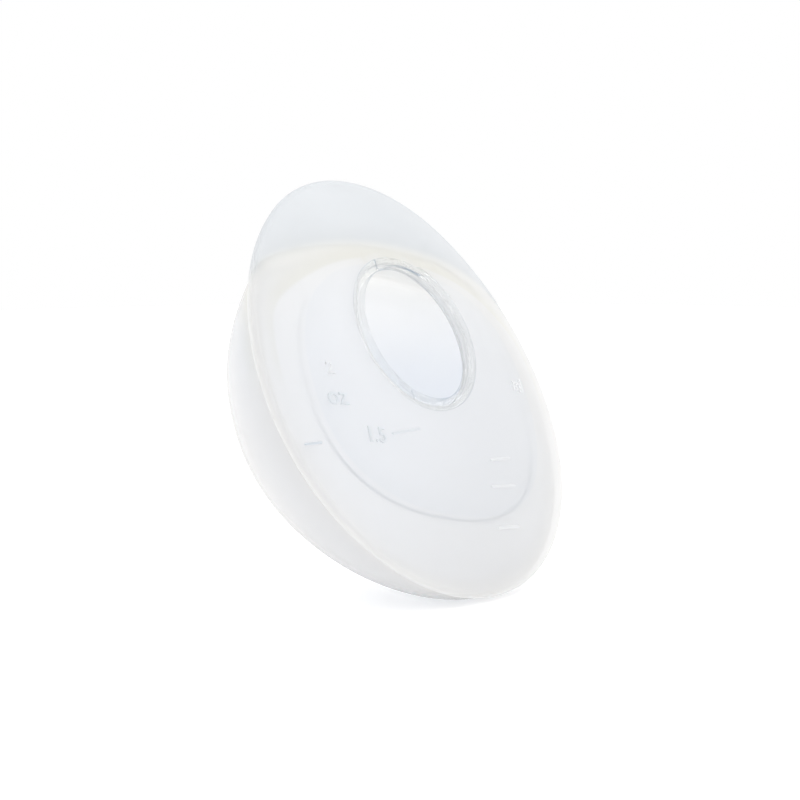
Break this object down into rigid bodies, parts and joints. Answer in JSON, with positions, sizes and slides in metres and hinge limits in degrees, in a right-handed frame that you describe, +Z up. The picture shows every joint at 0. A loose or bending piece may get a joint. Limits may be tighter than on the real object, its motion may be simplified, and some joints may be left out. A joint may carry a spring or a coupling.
{
  "type": "breast pump",
  "caption": "Wearable soft squeeze-bulb breast pump: domed breast shield with a clear ringed opening, a flap at the top, a milk-holding bulb and a push-to-release valve.",
  "frame": {"origin": "middle of the nipple opening: on its axis, half way along the straight wall of the clear ring", "axes": "+Z up as worn, towards the flap; +Y out of the opening, towards the breast; +X to the side; the pump is symmetric about X = 0"},
  "size_m": [0.112, 0.0548, 0.1185],
  "materials": {
    "shield_silicone": "translucent frosted silicone, satin",
    "bulb_silicone": "translucent frosted silicone, satin",
    "clear_ring": "water-clear, glossy",
    "clear_collar": "clear, glossy",
    "valve_silicone": "milky translucent silicone, satin"
  },
  "bodies": {
    "shield": {"rear_shield": "shield_silicone", "front_bulb": "bulb_silicone", "opening_ring": "clear_ring"},
    "nose": {"valve_collar": "clear_collar"},
    "valve": {"release_button": "valve_silicone", "valve_disc": "valve_silicone"}
  },
  "joints": [
    {"name": "bulb_squeeze", "type": "slide", "parent": "shield", "child": "nose", "axis": [0, 1, 0], "range_m": [0, 0.012], "stiffness_N_per_m": 250, "deforming": ["front_bulb"]},
    {"name": "valve_press", "type": "slide", "parent": "nose", "child": "valve", "axis": [0, 1, 0], "range_m": [0, 0.0015], "stiffness_N_per_m": 400}
  ]
}
